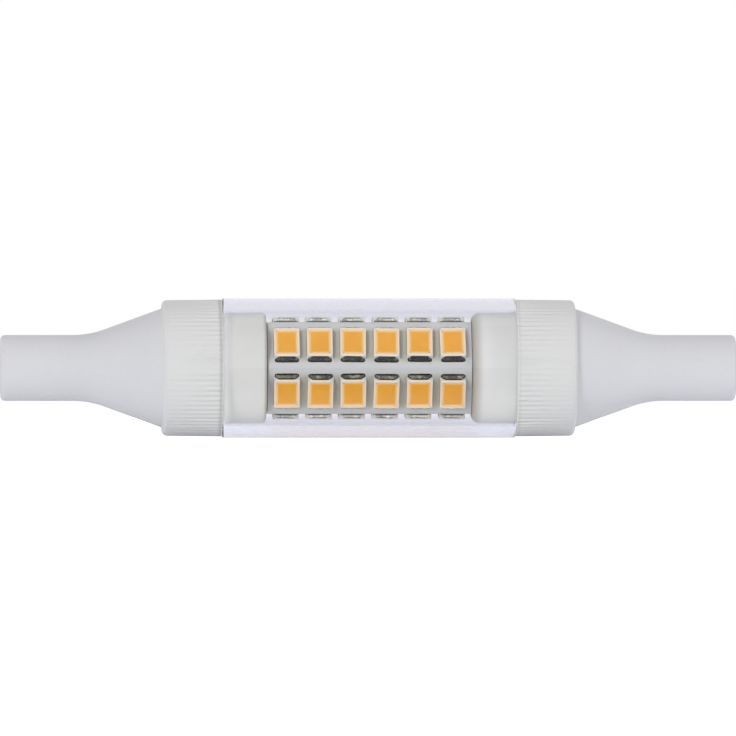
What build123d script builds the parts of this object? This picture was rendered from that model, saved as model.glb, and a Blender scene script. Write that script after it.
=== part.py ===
"""Double-ended linear LED lamp: two ceramic caps, a glass tube and a folded LED board.

The lamp's axis is X and the origin is at the middle of the tube. One fold of the LED board faces -Y.
Sizes are in millimetres. Each end is worked out for the right side (+X), and the left mirrors it.
"""

import os
from math import cos, hypot, pi, radians, sin, sqrt, tan

from build123d import *

# Lengths along the lamp; the neck takes up what the other pieces leave of the overall length
overall_length = 78.0
cone_length = 7.7
collar_length = 6.2
spigot_length = 4.6
board_end_gap = 0.18

# End cap outside
neck_diameter = 7.0
neck_end_round = 0.5
cone_shoulder = 0.94
collar_set_in = 0.14
collar_foot_step = 0.02
collar_foot_bevel = 0.4
spigot_round = 0.8
round_steps = 2

# Ribs moulded into the collar
rib_count = 78
rib_depth = 0.17

# Hollow of the cap, recess at its end and the contact in it
hollow_reach = 1.5
neck_bore_diameter = 2.4
recess_diameter = 4.5
recess_depth = 1.55
recess_bevel = 0.25
contact_diameter = 3.9
contact_thickness = 0.8
contact_clearance = 0.03

# Glass tube
glass_diameter = 14.8
glass_wall = 1.2
glass_rim_bevel = 0.4
spigot_clearance = 0.32

# Chip LEDs: width along the lamp, length across the flat
led_width = 2.8
led_length = 3.3
led_height = 0.6
led_draft_angle = 4.0
led_window_width = 2.2
led_window_length = 2.6
led_cup_depth = 0.35
led_cup_angle = 25.0
led_glass_clearance = 0.64
led_columns = 6
led_pitch = 3.52
led_edge_margin = 0.6
phosphor_dip = 0.03
solder_width = 2.6
solder_top_width = 1.8
solder_depth = 0.42
solder_height = 0.42

# Folded LED board
led_board_thickness = 0.5
fold_radius = 1.2
fold_seam = 0.2
row_letters = "abcdef"

# Driver board, the leads to it and the pins from it
driver_thickness = 0.8
driver_clearance = 0.06
driver_socket_depth = 3.0
lead_diameter = 0.8
lead_lap = 1.6
notch_end_gap = 0.3
feed_width = 0.5
feed_length = 1.3
feed_inset = 1.1

# Parts on the driver board
layout_gap = 0.6
rectifier_length = 4.6
rectifier_width = 3.6
rectifier_height = 1.8
rectifier_pins = 2
regulator_length = 4.9
regulator_width = 3.9
regulator_height = 1.5
regulator_pins = 4
pin_width = 0.5
pin_thickness = 0.2
pin_reach = 0.9
capacitor_length = 5.7
capacitor_width = 5.0
capacitor_height = 2.4
capacitor_terminal = 0.7
capacitor_terminal_rise = 0.08
resistor_length = 3.2
resistor_width = 1.6
resistor_height = 0.55
resistor_spacing = 4.0
fuse_length = 3.2
fuse_width = 1.6
fuse_height = 0.8

# Stations along X on the right side
led_board_x = (led_pitch * (led_columns - 1) + led_width) / 2 + led_edge_margin
spigot_x = led_board_x + board_end_gap
collar_x = spigot_x + spigot_length
cone_x = collar_x + collar_length
neck_x = cone_x + cone_length
end_x = overall_length / 2
contact_face_x = end_x - recess_depth
contact_seat_x = contact_face_x - contact_thickness
driver_x = spigot_x + driver_socket_depth
hollow_x = cone_x + hollow_reach

# Radii that follow from what fits inside what
glass_bore_radius = glass_diameter / 2 - glass_wall
spigot_radius = glass_bore_radius - spigot_clearance
led_top_radius = sqrt((glass_bore_radius - led_glass_clearance) ** 2 - (led_length / 2) ** 2)
board_apothem = led_top_radius - led_height
board_inner_apothem = board_apothem - led_board_thickness
driver_half_width = board_inner_apothem - driver_clearance
hollow_radius = hypot(driver_half_width, driver_thickness / 2) + driver_clearance
collar_radius = glass_diameter / 2 - collar_set_in
cone_base_radius = collar_radius - cone_shoulder
collar_foot_radius = collar_radius - rib_depth - collar_foot_step
collar_foot_x = cone_x - collar_foot_bevel
row_turn = 360 / len(row_letters)


def turned(outline):
    """Solid of revolution about X from a closed outline of (x, radius) points."""
    return revolve(make_face(Polyline(*outline, close=True)), Axis.X)


def rod(from_x, to_x, radius):
    """Round rod on the lamp's axis between two stations."""
    return Pos((from_x + to_x) / 2, 0, 0) * Rot(0, 90, 0) * Cylinder(radius, to_x - from_x)


def mirrored(part):
    """The same piece at the left end."""
    return mirror(part, about=Plane.YZ)


def quarter_round(x, radius, rounding, facing):
    """Points of a rounded rim at a face that looks along X (facing 1 or -1), from the face to the wall."""
    turns = [pi / 2 * step / round_steps for step in range(round_steps + 1)]
    return [
        (x - facing * rounding * (1 - cos(turn)), radius - rounding * (1 - sin(turn)))
        for turn in turns
    ]


def rib_collar():
    """Collar of fine ribs along the lamp, from the glass to the bevel at its foot."""
    points = []
    for index in range(2 * rib_count):
        radius = collar_radius - rib_depth * (index % 2)
        turn = pi * index / rib_count
        points.append((collar_x, radius * cos(turn), radius * sin(turn)))
    section = make_face(Polyline(*points, close=True))
    return extrude(section, collar_foot_x - collar_x, dir=(1, 0, 0))


def cap_outside():
    """Neck, cone, bevelled foot of the collar and spigot."""
    outline = [(end_x, 0)]
    outline += quarter_round(end_x, neck_diameter / 2, neck_end_round, 1)
    outline += [
        (neck_x, neck_diameter / 2),
        (cone_x, cone_base_radius),
        (cone_x, collar_foot_radius - collar_foot_bevel),
        (collar_foot_x, collar_foot_radius),
        (collar_foot_x, spigot_radius),
    ]
    outline += reversed(quarter_round(spigot_x, spigot_radius, spigot_round, -1))
    outline += [(spigot_x, 0)]
    return turned(outline)


def cap_hollow():
    """Space inside the cap: hollow for the driver board, lead bore, contact seat and recess."""
    recess_radius = recess_diameter / 2
    seat_radius = contact_diameter / 2 + contact_clearance
    outline = [
        (spigot_x, 0),
        (spigot_x, hollow_radius),
        (hollow_x, hollow_radius),
        (hollow_x, neck_bore_diameter / 2),
        (contact_seat_x, neck_bore_diameter / 2),
        (contact_seat_x, seat_radius),
        (contact_face_x, seat_radius),
        (contact_face_x, recess_radius),
        (end_x - recess_bevel, recess_radius),
        (end_x, recess_radius + recess_bevel),
        (end_x, 0),
    ]
    return turned(outline)


def right_cap():
    """Pressed ceramic cap."""
    return cap_outside() + rib_collar() - cap_hollow()


def right_contact():
    """Contact button, its face level with the bottom of the recess."""
    return rod(contact_seat_x, contact_face_x, contact_diameter / 2)


def right_lead():
    """Wire from the back of the contact into the notch of the driver board."""
    return rod(driver_x - lead_lap, contact_seat_x, lead_diameter / 2)


def glass_tube():
    """Clear tube between the collars, its outer rims melted back."""
    outer = glass_diameter / 2
    right_half = [
        (collar_x - glass_rim_bevel, outer),
        (collar_x, outer - glass_rim_bevel),
        (collar_x, glass_bore_radius),
    ]
    left_half = [(-x, radius) for x, radius in reversed(right_half)]
    return turned(right_half + left_half)


def hexagon(apothem, corner_radius):
    """Six-sided section with flats at top and bottom and rounded folds."""
    outline = RegularPolygon(apothem, len(row_letters), major_radius=False)
    return fillet(outline.vertices(), corner_radius)


def led_board():
    """Sheet folded to a six-sided tube, open along one fold at the back."""
    outside = hexagon(board_apothem, fold_radius)
    inside = hexagon(board_inner_apothem, fold_radius - led_board_thickness)
    seam = Pos(board_apothem, 0) * Rectangle(board_apothem, fold_seam)
    return extrude(Plane.YZ * (outside - inside - seam), led_board_x, both=True)


def led_places():
    """Name and place of every LED: rows lettered round the board, columns numbered from the left.

    Row b is on the top flat. A place has Z pointing out of its flat.
    """
    first_x = -led_pitch * (led_columns - 1) / 2
    places = {}
    for row, letter in enumerate(row_letters):
        for column in range(led_columns):
            on_top = Pos(first_x + column * led_pitch, 0, board_apothem)
            places[f"{letter}{column + 1}"] = Rot(row_turn * (1 - row), 0, 0) * on_top
    return places


def led_cup(dip):
    """Hollow of a package's cup below a level that lies dip under its rim."""
    slope = tan(radians(led_cup_angle))
    width = led_window_width - 2 * dip * slope
    length = led_window_length - 2 * dip * slope
    depth = led_cup_depth - dip
    margin = depth * slope
    hollow = Wedge(
        width,
        depth,
        length,
        margin,
        margin,
        width - margin,
        length - margin,
        align=(Align.CENTER, Align.MIN, Align.CENTER),
    )
    return Pos(0, 0, led_height - dip) * Rot(-90, 0, 0) * hollow


def led_package():
    """Moulded white package with drafted sides and a cup."""
    body = extrude(Rectangle(led_width, led_length), led_height, taper=led_draft_angle)
    return body - led_cup(0)


def solder_pair():
    """Solder fillets at both ends of a package, rising to its end walls."""
    inset = (solder_width - solder_top_width) / 2
    bead = Wedge(
        solder_width,
        solder_height,
        solder_depth,
        inset,
        0,
        solder_width - inset,
        0,
        align=(Align.CENTER, Align.MIN, Align.MIN),
    )
    near = Pos(0, -led_length / 2, 0) * Rot(90, 0, 0) * bead
    return [near, Rot(0, 0, 180) * near]


def driver_board():
    """Circuit strip from cap to cap, notched at both ends for the leads."""
    notch_reach = lead_lap + notch_end_gap
    notch_width = lead_diameter + 2 * driver_clearance
    notch = Box(2 * notch_reach, driver_thickness, notch_width)
    strip = Box(2 * driver_x, driver_thickness, 2 * driver_half_width)
    return strip - [Pos(driver_x, 0, 0) * notch, Pos(-driver_x, 0, 0) * notch]


def on_driver(face, x, z=0.0):
    """Place on the driver board's front (-1) or back (1) face, with Z pointing out of it."""
    return Pos(x, face * driver_thickness / 2, z) * Rot(-90 * face, 0, 0)


def block(length, width, height):
    """Plain chip body standing on Z = 0."""
    return Box(length, width, height, align=(Align.CENTER, Align.CENTER, Align.MIN))


def chip(length, width, height, pins):
    """Moulded chip standing on flat pins along both long sides."""
    body = Pos(0, 0, pin_thickness) * block(length, width, height)
    pitch = length / pins
    for index in range(pins):
        x = (index - (pins - 1) / 2) * pitch
        body += Pos(x, 0, 0) * block(pin_width, width + 2 * pin_reach, pin_thickness)
    return body


def bridge_rectifier():
    """Rectifier on the left half of the front face."""
    x = -layout_gap - rectifier_length / 2
    return on_driver(-1, x) * chip(rectifier_length, rectifier_width, rectifier_height, rectifier_pins)


def current_regulator():
    """Regulator on the right half of the front face."""
    x = layout_gap + regulator_length / 2
    return on_driver(-1, x) * chip(regulator_length, regulator_width, regulator_height, regulator_pins)


def smoothing_capacitor():
    """Ceramic block capacitor with raised end terminals, on the right half of the back face."""
    x = layout_gap + capacitor_length / 2
    terminal = block(capacitor_terminal, capacitor_width, capacitor_height)
    terminal_x = (capacitor_length - capacitor_terminal) / 2
    core_width = capacitor_width - 2 * capacitor_terminal_rise
    core = block(capacitor_length, core_width, capacitor_height - 2 * capacitor_terminal_rise)
    part = Pos(0, 0, capacitor_terminal_rise) * core
    part += [Pos(terminal_x, 0, 0) * terminal, Pos(-terminal_x, 0, 0) * terminal]
    return on_driver(1, x) * part


def sense_resistors():
    """Two chip resistors one above the other on the left half of the back face."""
    x = -layout_gap - resistor_length / 2
    body = block(resistor_length, resistor_width, resistor_height)
    return [on_driver(1, x, side * resistor_spacing / 2) * body for side in (-1, 1)]


def fusible_resistor():
    """Fusible chip resistor beside the left notch, on the back face."""
    x = -driver_x + lead_lap + notch_end_gap + layout_gap + fuse_length / 2
    return on_driver(1, x) * block(fuse_length, fuse_width, fuse_height)


def led_feed(side):
    """Pin on the driver board's back face, up against the top (1) or bottom (-1) flat of the LED board."""
    x = -led_board_x + feed_inset
    y = (driver_thickness + feed_width) / 2
    z = side * (board_inner_apothem - feed_length / 2)
    return Pos(x, y, z) * Box(feed_width, feed_width, feed_length)


def build_parts():
    """All pieces by node name."""
    cap = right_cap()
    contact = right_contact()
    lead = right_lead()
    parts = {
        "glass_tube": glass_tube(),
        "left_cap": mirrored(cap),
        "right_cap": cap,
        "left_contact": mirrored(contact),
        "right_contact": contact,
        "left_lead": mirrored(lead),
        "right_lead": lead,
        "led_board": led_board(),
        "driver_board": driver_board(),
        "bridge_rectifier": bridge_rectifier(),
        "current_regulator": current_regulator(),
        "smoothing_capacitor": smoothing_capacitor(),
        "sense_resistors": Compound(sense_resistors()),
        "fusible_resistor": fusible_resistor(),
        "led_feed_positive": led_feed(1),
        "led_feed_negative": led_feed(-1),
    }
    package = led_package()
    phosphor = led_cup(phosphor_dip)
    pair = solder_pair()
    places = led_places()
    for name, place in places.items():
        parts[f"led_{name}"] = place * package
    parts["led_phosphor"] = Compound([place * phosphor for place in places.values()])
    parts["led_solder"] = Compound([place * bead for place in places.values() for bead in pair])
    return parts


os.makedirs("parts", exist_ok=True)
for node, part in build_parts().items():
    export_step(part, f"parts/{node}.step")
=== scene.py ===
"""Double-ended linear LED lamp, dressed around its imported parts.

The lamp lies along X, with one fold of its LED board towards the viewer at -Y. Sizes are in millimetres,
and a mesh is scaled to metres when its piece is finished.
"""

import logging
import math
import random
from collections.abc import Iterable
from dataclasses import dataclass
from enum import Enum

import bmesh
import bpy
from mathutils import Matrix, Vector


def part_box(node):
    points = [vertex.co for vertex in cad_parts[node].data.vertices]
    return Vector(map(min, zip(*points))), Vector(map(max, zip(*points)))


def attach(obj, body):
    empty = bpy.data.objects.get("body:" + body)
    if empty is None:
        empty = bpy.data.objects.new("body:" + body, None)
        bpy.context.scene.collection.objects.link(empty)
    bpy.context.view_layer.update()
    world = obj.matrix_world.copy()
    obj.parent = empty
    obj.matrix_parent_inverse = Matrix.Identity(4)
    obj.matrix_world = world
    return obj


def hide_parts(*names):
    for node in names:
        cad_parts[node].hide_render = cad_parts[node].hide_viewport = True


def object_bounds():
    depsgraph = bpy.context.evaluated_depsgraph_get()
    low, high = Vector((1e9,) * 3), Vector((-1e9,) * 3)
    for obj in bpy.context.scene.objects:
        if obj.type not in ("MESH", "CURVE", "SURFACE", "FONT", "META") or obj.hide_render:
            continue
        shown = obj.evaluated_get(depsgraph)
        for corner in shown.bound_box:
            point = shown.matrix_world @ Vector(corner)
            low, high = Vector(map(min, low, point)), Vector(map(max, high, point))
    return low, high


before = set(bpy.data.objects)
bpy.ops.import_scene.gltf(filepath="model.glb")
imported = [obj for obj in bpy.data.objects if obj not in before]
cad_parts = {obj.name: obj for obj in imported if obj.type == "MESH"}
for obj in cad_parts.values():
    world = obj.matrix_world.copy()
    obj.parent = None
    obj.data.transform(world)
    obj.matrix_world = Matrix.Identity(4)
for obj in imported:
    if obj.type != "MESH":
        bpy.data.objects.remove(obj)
cad_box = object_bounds()

log = logging.getLogger("linear_led_lamp")

MM = 0.001
MERGE_MM = 0.0005
LONG_MM = 1.0
GUARD_MM = 0.03
BODY = "root"

# Sockets of a Mix node: its share and two colours or numbers, and the mixed colour.
MIX_INPUTS = (0, 6, 7)
MIX_NUMBER_INPUTS = (0, 2, 3)
MIX_OUTPUT = 2

Rgb = tuple[float, float, float]
Span = tuple[float, float]
Band = tuple[float, float, float, float]
Mesh = bmesh.types.BMesh
Material = bpy.types.Material
Piece = bpy.types.Object
Socket = bpy.types.NodeSocket

WHITE: Rgb = (1.0, 1.0, 1.0)


class End(Enum):
    """The two ends of the lamp, with the sign of X there."""

    LEFT = -1
    RIGHT = 1


class Row(Enum):
    """Rows of LEDs round the board, with the turn of each flat about X, in degrees from the top flat."""

    A = 60
    B = 0
    C = -60
    D = -120
    E = -180
    F = -240


@dataclass(frozen=True)
class Field:
    """A round-cornered field that a UV map spans from 0 to 1."""

    width: float
    length: float
    corner: float


WINDOW = Field(width=2.2, length=2.6, corner=0.28)
SOLDER_SLOPE = Field(width=2.6, length=0.46, corner=0.18)


@dataclass(frozen=True)
class Corner:
    """A corner of a turned outline: place along the lamp, radius, and the radius that rounds it off."""

    x: float
    r: float
    rounding: float = 0.0


def metres(lengths_mm: Iterable[float]) -> tuple[float, ...]:
    """Turn millimetres into metres."""
    return tuple(length * MM for length in lengths_mm)


def smooth_step(value: float) -> float:
    """Ease from 0 to 1 with level ends."""
    held = min(max(value, 0.0), 1.0)
    return held * held * (3.0 - 2.0 * held)


def box_mm(node: str) -> tuple[Vector, Vector]:
    """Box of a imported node.

    Args:
        node: Name of the node.

    Returns:
        Its lowest and highest corner in millimetres.
    """
    low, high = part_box(node)
    return low / MM, high / MM


def wire_outline(corners: list[Corner], segments: int) -> Mesh:
    """Draw a closed outline in the plane Y = 0 and round its corners.

    Args:
        corners: Corners in order round the outline.
        segments: Steps of each rounding.

    Returns:
        A mesh of loose edges.
    """
    mesh = bmesh.new()
    verts = [mesh.verts.new((corner.x, 0.0, corner.r)) for corner in corners]
    for here, following in zip(verts, verts[1:] + verts[:1]):
        mesh.edges.new((here, following))
    places = [vert.co.copy() for vert in verts]
    count = len(corners)
    for index, corner in enumerate(corners):
        if corner.rounding == 0.0:
            continue
        inward = places[index] - places[index - 1]
        outward = places[(index + 1) % count] - places[index]
        reach = corner.rounding * math.tan(inward.angle(outward) / 2)
        bmesh.ops.bevel(
            mesh,
            geom=[verts[index]],
            offset=reach,
            offset_type="OFFSET",
            segments=segments,
            profile=0.5,
            affect="VERTICES",
            material=-1,
            clamp_overlap=False,
        )
    guard_long_edges(mesh)
    return mesh


def guard_long_edges(mesh: Mesh) -> None:
    """Add a point close to each end of the long edges, so that what they sweep is shaded straight.

    Args:
        mesh: Mesh that holds only an outline.
    """
    for edge in [edge for edge in mesh.edges if edge.calc_length() > LONG_MM]:
        near, far = edge.verts
        share = GUARD_MM / edge.calc_length()
        added, _ = bmesh.utils.edge_split(edge, near, share)
        rest = added if far in added.verts else edge
        bmesh.utils.edge_split(rest, far, GUARD_MM / rest.calc_length())


def spin_about_lamp(mesh: Mesh, steps: int) -> None:
    """Spin an outline once round the lamp's axis, and close its seam and poles.

    Args:
        mesh: Mesh that holds only the outline.
        steps: Steps of the full turn.
    """
    bmesh.ops.spin(
        mesh,
        geom=mesh.verts[:] + mesh.edges[:],
        cent=(0.0, 0.0, 0.0),
        axis=(1.0, 0.0, 0.0),
        dvec=(0.0, 0.0, 0.0),
        angle=math.tau,
        steps=steps,
        use_merge=True,
        use_normal_flip=False,
        use_duplicate=False,
        space=Matrix(),
    )
    bmesh.ops.remove_doubles(mesh, verts=mesh.verts[:], dist=MERGE_MM)
    bmesh.ops.dissolve_degenerate(mesh, edges=mesh.edges[:], dist=MERGE_MM)
    bmesh.ops.recalc_face_normals(mesh, faces=mesh.faces[:])


def bring_to_end(mesh: Mesh, end: End) -> None:
    """Mirror a mesh that was made for the right end, where it belongs at the left.

    Args:
        mesh: Mesh at the right end.
        end: End where it belongs.
    """
    if end is End.LEFT:
        bmesh.ops.scale(mesh, vec=(-1.0, 1.0, 1.0), verts=mesh.verts[:])
        bmesh.ops.recalc_face_normals(mesh, faces=mesh.faces[:])


def block(size: tuple[float, float, float], middle_y: float, middle_z: float) -> Mesh:
    """Start a mesh from a block.

    Args:
        size: Its width, length and height.
        middle_y: Y of its middle.
        middle_z: Z of its middle.

    Returns:
        The block, with X = 0 in its middle.
    """
    mesh = bmesh.new()
    bmesh.ops.create_cube(mesh, size=1.0)
    bmesh.ops.scale(mesh, vec=size, verts=mesh.verts[:])
    bmesh.ops.translate(mesh, vec=(0.0, middle_y, middle_z), verts=mesh.verts[:])
    return mesh


def edge_rise(edge: bmesh.types.BMEdge) -> float:
    """Height between the two ends of an edge."""
    return abs(edge.verts[0].co.z - edge.verts[1].co.z)


def top_face(mesh: Mesh) -> bmesh.types.BMFace:
    """Highest face of a mesh."""
    return max(mesh.faces, key=lambda face: face.calc_center_median().z)


def bevel_edges(mesh: Mesh, edges: list, width: float, segments: int) -> None:
    """Round some edges.

    Args:
        mesh: Mesh that holds the edges.
        edges: Edges to round.
        width: Offset of the bevel in millimetres.
        segments: Steps across the bevel.
    """
    bmesh.ops.bevel(
        mesh,
        geom=edges,
        offset=width,
        offset_type="OFFSET",
        segments=segments,
        profile=0.5,
        affect="EDGES",
        material=-1,
        clamp_overlap=True,
    )


def bevel_uprights(mesh: Mesh, width: float, segments: int) -> None:
    """Round the edges of a block that rise from its foot.

    Args:
        mesh: The block.
        width: Offset of the bevel in millimetres.
        segments: Steps across the bevel.
    """
    bevel_edges(mesh, [edge for edge in mesh.edges if edge_rise(edge) > MERGE_MM], width, segments)


def make_piece(
    mesh: Mesh,
    name: str,
    material: Material,
    stands_for: list[str],
    sharp_degrees: float = 40.0,
) -> None:
    """Turn a finished mesh into a piece that rides on the lamp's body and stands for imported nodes.

    Args:
        mesh: Mesh in millimetres, in the lamp's frame. It is freed here.
        name: Name of the piece.
        material: Its finish.
        stands_for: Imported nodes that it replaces.
        sharp_degrees: Edges that turn by more than this stay sharp.
    """
    bmesh.ops.scale(mesh, vec=(MM, MM, MM), verts=mesh.verts[:])
    data = bpy.data.meshes.new(name)
    mesh.to_mesh(data)
    mesh.free()
    data.materials.append(material)
    data.shade_smooth()
    data.set_sharp_from_angle(angle=math.radians(sharp_degrees))
    piece = bpy.data.objects.new(name, data)
    bpy.context.scene.collection.objects.link(piece)
    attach(piece, BODY)
    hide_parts(*stands_for)
    log.info("%s: %d faces, for %s", name, len(data.polygons), ", ".join(stands_for))


class Bench:
    """Short calls for laying out one node tree. An input takes a socket, a colour or a number."""

    def __init__(self, tree: bpy.types.NodeTree) -> None:
        """Hold the tree and empty it."""
        self.tree = tree
        tree.nodes.clear()

    def node(self, kind: str, **settings: object) -> bpy.types.Node:
        """Add a node.

        Args:
            kind: Node type without its ShaderNode prefix.
            settings: Properties to set on the node.

        Returns:
            The new node.
        """
        made = self.tree.nodes.new(kind if kind.startswith("NodeGroup") else f"ShaderNode{kind}")
        for key, value in settings.items():
            setattr(made, key, value)
        return made

    def link(self, source: Socket, target: Socket) -> None:
        """Join an output to an input."""
        self.tree.links.new(source, target)

    def feed(self, target: Socket, value: object) -> None:
        """Join a socket to an input, or set the input to a colour or a number.

        Args:
            target: The input.
            value: Socket, colour or number for it.
        """
        if isinstance(value, Socket):
            self.link(value, target)
        else:
            target.default_value = (*value, 1.0) if isinstance(value, tuple) else value

    def math(self, operation: str, *values: object) -> Socket:
        """Add a Math node.

        Args:
            operation: Math operation.
            values: What it works on.

        Returns:
            The node's output.
        """
        made = self.node("Math", operation=operation)
        for target, value in zip(made.inputs, values):
            self.feed(target, value)
        return made.outputs[0]

    def blend(self, share: object, first: object, second: object, kind: str = "MIX") -> Socket:
        """Mix two colours.

        Args:
            share: Share of the second colour.
            first: One colour.
            second: The other colour.
            kind: How the second colour acts on the first.

        Returns:
            The mixed colour.
        """
        made = self.node("Mix", data_type="RGBA", blend_type=kind)
        for index, value in zip(MIX_INPUTS, (share, first, second)):
            self.feed(made.inputs[index], value)
        return made.outputs[MIX_OUTPUT]

    def times(self, first: object, second: object) -> Socket:
        """Multiply two colours."""
        return self.blend(1.0, first, second, "MULTIPLY")

    def ramp(self, value: Socket, low: object, high: object) -> Socket:
        """Smooth 0 to 1 share of a value between two limits.

        Args:
            value: Socket to read.
            low: Limit that gives 0.
            high: Limit that gives 1.

        Returns:
            The share.
        """
        made = self.node("MapRange", interpolation_type="SMOOTHSTEP")
        for name, given in (("Value", value), ("From Min", low), ("From Max", high)):
            self.feed(made.inputs[name], given)
        return made.outputs["Result"]

    def band(self, value: Socket, places: Iterable[float]) -> Socket:
        """Share that rises to 1 and falls back to 0.

        Args:
            value: Value along which the band lies.
            places: Where the band starts, is full, starts to thin and ends.

        Returns:
            The share.
        """
        starts, full, thins, ends = places
        return self.math("SUBTRACT", self.ramp(value, starts, full), self.ramp(value, thins, ends))

    def place(self, kind: str = "Object") -> bpy.types.NodeOutputs:
        """Split the place on the surface into X, Y and Z.

        Args:
            kind: Kind of coordinates.

        Returns:
            The three sockets.
        """
        parts = self.node("SeparateXYZ")
        self.link(self.node("TexCoord").outputs[kind], parts.inputs[0])
        return parts.outputs

    def mix_shaders(self, share: Socket, first: Socket, second: Socket) -> Socket:
        """Mix two shaders.

        Args:
            share: Share of the second shader.
            first: One shader.
            second: The other shader.

        Returns:
            The mixed shader.
        """
        made = self.node("MixShader")
        for target, source in zip(made.inputs, (share, first, second)):
            self.link(source, target)
        return made.outputs[0]


def new_group(name: str, inputs: dict[str, object], outputs: dict[str, str]) -> tuple[Bench, dict, dict]:
    """Start a shader node group.

    Args:
        name: Name of the group.
        inputs: Input names with their default number or colour.
        outputs: Output names with their socket types.

    Returns:
        The bench of the group, its input sockets by name and its output sockets by name.
    """
    tree = bpy.data.node_groups.new(name, "ShaderNodeTree")
    bench = Bench(tree)
    for label, value in inputs.items():
        kind = "NodeSocketColor" if isinstance(value, tuple) else "NodeSocketFloat"
        socket = tree.interface.new_socket(label, in_out="INPUT", socket_type=kind)
        socket.default_value = (*value, 1.0) if isinstance(value, tuple) else value
    for label, kind in outputs.items():
        tree.interface.new_socket(label, in_out="OUTPUT", socket_type=kind)
    entry = bench.node("NodeGroupInput")
    leave = bench.node("NodeGroupOutput")
    return bench, {s.name: s for s in entry.outputs if s.name}, {s.name: s for s in leave.inputs if s.name}


@dataclass(frozen=True)
class SpeckleNoise:
    """Detail of the two noises of the speckle, and the span of each noise over which it shows."""

    grain_detail: float = 4.0
    grain_span: Span = (0.52, 0.72)
    cloud_detail: float = 2.0
    cloud_span: Span = (0.35, 0.65)

    def build(self) -> bpy.types.NodeTree:
        """Build the shared fine speckle of fired, moulded and printed surfaces.

        Returns:
            A group that puts out a colour, a roughness and a height for bump.
        """
        bench, given, out = new_group(
            "fine_speckle",
            {
                "Base": WHITE,
                "Speck": WHITE,
                "Cloud": WHITE,
                "Grain per mm": 3.0,
                "Clouds per mm": 0.15,
                "Speck Share": 0.3,
                "Cloud Share": 0.5,
                "Smooth": 0.4,
                "Rough": 0.6,
            },
            {"Color": "NodeSocketColor", "Roughness": "NodeSocketFloat", "Height": "NodeSocketFloat"},
        )
        to_mm = bench.node("Mapping")
        to_mm.inputs["Scale"].default_value = (1 / MM, 1 / MM, 1 / MM)
        bench.link(bench.node("TexCoord").outputs["Object"], to_mm.inputs["Vector"])
        noises = []
        for rate, detail in (("Grain per mm", self.grain_detail), ("Clouds per mm", self.cloud_detail)):
            noise = bench.node("TexNoise", noise_dimensions="3D")
            noise.inputs["Detail"].default_value = detail
            bench.link(to_mm.outputs["Vector"], noise.inputs["Vector"])
            bench.link(given[rate], noise.inputs["Scale"])
            noises.append(noise.outputs["Fac"])
        grain, clouds = noises
        speck = bench.math("MULTIPLY", bench.ramp(grain, *self.grain_span), given["Speck Share"])
        cloud = bench.math("MULTIPLY", bench.ramp(clouds, *self.cloud_span), given["Cloud Share"])
        body = bench.blend(cloud, given["Base"], given["Cloud"])
        bench.link(bench.blend(speck, body, given["Speck"]), out["Color"])
        gloss = bench.node("Mix", data_type="FLOAT")
        for index, value in zip(MIX_NUMBER_INPUTS, (grain, given["Smooth"], given["Rough"])):
            bench.link(value, gloss.inputs[index])
        bench.link(gloss.outputs[0], out["Roughness"])
        bench.link(grain, out["Height"])
        return bench.tree


def border_group() -> bpy.types.NodeTree:
    """Build the shared distance to the border of a round-cornered field that a UV map spans from 0 to 1.

    Returns:
        A group that puts out the distance inwards from the border, in millimetres.
    """
    bench, given, out = new_group(
        "border_distance",
        {"Width": 1.0, "Length": 1.0, "Corner": 0.2},
        {"Distance": "NodeSocketFloat"},
    )
    parts = bench.node("SeparateXYZ")
    bench.link(bench.node("UVMap").outputs["UV"], parts.inputs[0])
    beyond = []
    for axis, size in ((0, given["Width"]), (1, given["Length"])):
        middle = bench.math("SUBTRACT", parts.outputs[axis], 0.5)
        off = bench.math("MULTIPLY", bench.math("ABSOLUTE", middle), size)
        flat_half = bench.math("SUBTRACT", bench.math("MULTIPLY", size, 0.5), given["Corner"])
        beyond.append(bench.math("SUBTRACT", off, flat_half))
    squares = [bench.math("POWER", bench.math("MAXIMUM", value, 0.0), 2.0) for value in beyond]
    outside = bench.math("SQRT", bench.math("ADD", *squares))
    inside = bench.math("MINIMUM", bench.math("MAXIMUM", *beyond), 0.0)
    reach = bench.math("ADD", outside, inside)
    bench.link(bench.math("SUBTRACT", given["Corner"], reach), out["Distance"])
    return bench.tree


@dataclass(frozen=True)
class Effects:
    """The shared node groups, built once."""

    speckle: bpy.types.NodeTree
    border: bpy.types.NodeTree


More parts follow.
